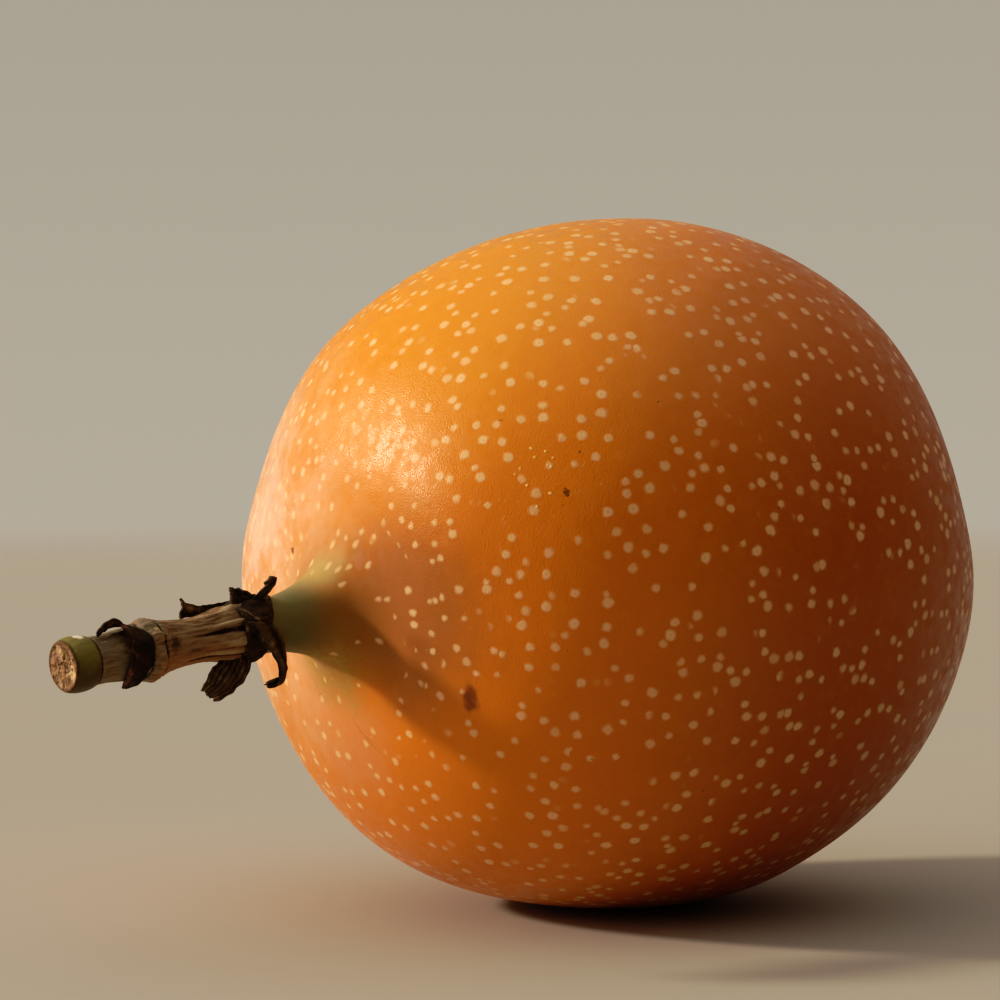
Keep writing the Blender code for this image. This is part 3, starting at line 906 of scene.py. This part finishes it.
SEPALS = {
    # Points back along the stalk, behind its top ridge
    "sepal_back": (
        [
            ((3.0, 1.7, -2.4), (0.1, 0.55, 0.4)),
            ((4.4, 1.7, -2.3), (0.1, 0.55, 0.4)),
            ((5.8, 1.8, -2.0), (0.1, 0.5, 0.3)),
            ((7.2, 2.05, -1.8), (0.1, 0.48, 0.2)),
            ((8.2, 2.3, -1.7), (0.05, 0.6, 0.1)),
            ((9.0, 2.5, -1.6), (-0.1, 0.9, 0.1)),
        ],
        (0.3, 1.5, 0.06, 0.03, 0.24),
    ),
    # Short and broad, crumpled up on top of the collar
    "sepal_peak": (
        [
            ((3.2, 2.1, 0.7), (1.7, 0.0, -0.1)),
            ((3.4, 2.7, 0.6), (1.6, 0.1, -0.1)),
            ((3.7, 3.1, 0.5), (1.3, 0.2, 0.0)),
            ((4.1, 3.5, 0.4), (0.85, 0.2, 0.2)),
            ((4.5, 3.95, 0.3), (0.3, 0.15, 0.0)),
        ],
        (0.4, 2.5, 0.16, 0.06, 0.34),
    ),
    # Thin, rising towards the fruit and hooking back at its tip
    "sepal_curl": (
        [
            ((2.7, 2.5, 0.7), (0.5, 0.1, -0.2)),
            ((2.1, 3.0, 0.9), (0.36, 0.1, -0.2)),
            ((1.65, 3.5, 1.1), (0.22, 0.12, -0.2)),
            ((1.3, 4.0, 1.4), (0.2, 0.1, -0.15)),
            ((1.25, 4.4, 1.6), (0.18, 0.0, -0.1)),
            ((1.6, 4.52, 1.7), (0.08, 0.14, -0.1)),
            ((2.1, 4.32, 1.85), (0.02, 0.1, -0.05)),
            ((2.6, 4.22, 1.95), (0.0, 0.04, -0.02)),
        ],
        (0.1, 1.5, 0.06, 0.0, 0.2),
    ),
    # Large, leaving the collar below and hooking down and back
    "sepal_hook": (
        [
            ((3.3, 0.9, 2.3), (1.5, 0.5, 0.1)),
            ((2.9, -0.3, 2.75), (1.5, 0.6, 0.0)),
            ((2.5, -1.3, 2.85), (1.25, 0.75, 0.05)),
            ((2.0, -2.1, 2.8), (0.85, 0.8, 0.1)),
            ((1.65, -2.85, 2.75), (0.55, 0.45, 0.1)),
            ((1.55, -3.55, 2.7), (0.42, 0.05, 0.15)),
            ((1.8, -4.15, 2.65), (0.25, -0.2, 0.2)),
            ((2.4, -4.4, 2.55), (0.05, -0.28, 0.15)),
            ((3.2, -4.4, 2.4), (0.0, -0.16, 0.08)),
        ],
        (0.3, 1.5, 0.06, 0.16, 0.26),
    ),
    # Broad and pleated, hanging down and back from under the collar
    "sepal_fan": (
        [
            ((4.7, -1.7, 1.0), (1.1, 0.3, -0.4)),
            ((5.5, -2.4, 1.3), (1.25, 0.55, -0.4)),
            ((6.4, -3.1, 1.6), (1.15, 0.85, -0.4)),
            ((7.4, -3.75, 1.75), (1.0, 0.85, -0.3)),
            ((8.3, -4.3, 1.8), (0.7, 0.65, -0.3)),
            ((9.0, -4.55, 1.8), (0.45, 0.45, -0.2)),
        ],
        (0.3, 6.5, 0.06, 0.14, 0.2),
    ),
}
for name, (stations, (cup, pleats, depth, fraying, wall)) in SEPALS.items():
    sepal = dried_leaf("dry_" + name, stations, cup, pleats, depth, fraying, wall)
    sepal.data.materials.append(dry_flower_finish(name + "_skin", DRY_BROWN, DRY_TAN, 0.85))
    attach(sepal, "root")
    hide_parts(name)

# ----------------------------------------------------------------------------------------------
# Bract
# A thin dried leaf, dark red-brown, that wraps round the side of the stalk at its joint. Its lower
# end is a point, and its upper end is a tongue that stands free over the waist of the stalk.
# ----------------------------------------------------------------------------------------------
BRACT = [
    ((16.3, -2.8, 0.4), (0.14, 0.05, 0.0)),
    ((16.25, -2.35, 1.2), (0.6, 0.1, 0.0)),
    ((16.1, -1.5, 2.1), (0.95, 0.1, 0.1)),
    ((15.8, -0.2, 2.6), (1.2, 0.0, 0.1)),
    ((15.65, 1.1, 2.45), (1.25, 0.0, 0.05)),
    ((15.65, 2.0, 1.85), (1.15, 0.2, 0.15)),
    ((15.95, 2.6, 1.1), (0.95, 0.4, 0.35)),
    ((16.6, 2.95, 0.6), (0.65, 0.5, 0.5)),
    ((17.4, 2.95, 0.35), (0.42, 0.46, 0.5)),
    ((18.25, 2.65, 0.4), (0.25, 0.38, 0.35)),
    ((18.9, 2.3, 0.5), (0.12, 0.18, 0.15)),
]
BRACT_BROWN = (0.042, 0.025, 0.018)
BRACT_PINK = (0.24, 0.11, 0.075)
bract = dried_leaf("dry_bract", BRACT, 0.12, 0.8, 0.05, 0.0, 0.24)
bract.data.materials.append(dry_flower_finish("bract_skin", BRACT_BROWN, BRACT_PINK, 0.9))
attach(bract, "root")
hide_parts("bract_curl")

# ----------------------------------------------------------------------------------------------
# Stage
# A plain pale round table top whose edge fades out, a camera a little above it, a low warm lamp
# with soft edges, and pale air all round that is brighter behind, overhead and at one side.
# ----------------------------------------------------------------------------------------------
TABLE_RADIUS = 640
TABLE_FADE = 190
TABLE_WARM = (0.485, 0.435, 0.375)
TABLE_COOL = (0.45, 0.425, 0.385)
VIEW_TURN = math.radians(-39.74)
VIEW_TILT = math.radians(3)
VIEW_DISTANCE = 351.2
AIM_ASIDE = 10.24
AIM_ABOVE = 6.02
LENS = 136.73
LAMP_STRENGTH = 2.55
LAMP_COLOUR = (1.0, 0.88, 0.7)

bpy.ops.object.select_all(action="DESELECT")
bpy.ops.mesh.primitive_circle_add(vertices=128, radius=TABLE_RADIUS * MM, fill_type="NGON")
table_top = bpy.context.active_object
table_top.name = "table_top"
table, table_shader, start = new_finish("pale_table", TABLE_WARM, Roughness=0.8)
place = start.node("TexCoord", out=3)
feed(table_shader, Base_Color=place.clouds(60, 3).mix(TABLE_WARM, TABLE_COOL))
rim = (place.vector("LENGTH", (0, 0, 0), out=1) / MM).rise(TABLE_RADIUS - TABLE_FADE, TABLE_RADIUS)
clear = start.node("BsdfTransparent")
surface = Finish(table.node_tree, table_shader.outputs[0])
faded = start.node("MixShader", None, {0: rim, 1: surface, 2: clear})
table_output = table.node_tree.nodes["Material Output"]
table.node_tree.links.new(faded.socket, table_output.inputs["Surface"])
table_top.data.materials.append(table)

back = Vector(
    (
        math.sin(VIEW_TURN) * math.cos(VIEW_TILT),
        -math.cos(VIEW_TURN) * math.cos(VIEW_TILT),
        math.sin(VIEW_TILT),
    )
)
right = Vector((math.cos(VIEW_TURN), math.sin(VIEW_TURN), 0))
above = back.cross(right)

bpy.ops.object.select_all(action="DESELECT")
bpy.ops.object.camera_add()
camera = bpy.context.active_object
camera.data.lens = LENS
camera.data.sensor_width = 36
camera.data.clip_start = 0.01
camera.location = (CENTRE + back * VIEW_DISTANCE - right * AIM_ASIDE + above * AIM_ABOVE) * MM
camera.rotation_euler = Matrix((right, above, back)).transposed().to_euler()
bpy.context.scene.camera = camera

bpy.ops.object.light_add(type="SUN")
lamp = bpy.context.active_object
lamp.name = "low_lamp"
towards_lamp = right * -0.913 + above * 0.407 - back * 0.017
lamp.rotation_euler = towards_lamp.to_track_quat("Z", "Y").to_euler()
lamp.data.energy = LAMP_STRENGTH
lamp.data.angle = math.radians(6)
lamp.data.color = LAMP_COLOUR

WALL_LOW = (0.455, 0.412, 0.335)
WALL_HIGH = (0.39, 0.355, 0.29)
BRIGHT_AIR = (0.3, 0.275, 0.24)
WINDOW_AIR = (0.8, 0.74, 0.66)
DIM_AIR = (0.055, 0.038, 0.025)
CEILING_AIR = (0.72, 0.64, 0.52)
bright_side = (above * 0.75 - back * 0.75 - right * 0.1).normalized()
window_side = (above * 0.35 + back * 0.3 - right * 0.88).normalized()
world = bpy.data.worlds.new("pale_air")
world.use_nodes = True
bpy.context.scene.world = world
air = Finish(world.node_tree)
looking = air.node("TexCoord", out=0)
glow = looking.vector("DOT_PRODUCT", tuple(bright_side), out=1).rise(-0.2, 0.6)
window = looking.vector("DOT_PRODUCT", tuple(window_side), out=1).rise(0.55, 0.95)
ceiling = looking.split(2).rise(0.6, 1.0)
overhead = ceiling.mix((0.0, 0.0, 0.0), CEILING_AIR)
light = window.mix(glow.mix(DIM_AIR, BRIGHT_AIR).vector("ADD", overhead), WINDOW_AIR)
wall = looking.split(2).rise(-0.08, 0.14).mix(WALL_LOW, WALL_HIGH)
seen = air.node("LightPath")
background = world.node_tree.nodes["Background"]
world.node_tree.links.new(seen.mix(light, wall).socket, background.inputs["Color"])

scene_look = bpy.context.scene.view_settings
scene_look.view_transform = "Standard"
scene_look.use_curve_mapping = True
# Dark tones come out a little deeper: (before, after)
TONE = [(0.02, 0.006), (0.05, 0.027), (0.1, 0.072), (0.18, 0.146), (0.3, 0.292)]
for darker in TONE:
    scene_look.curve_mapping.curves[3].points.new(*darker)
scene_look.curve_mapping.update()
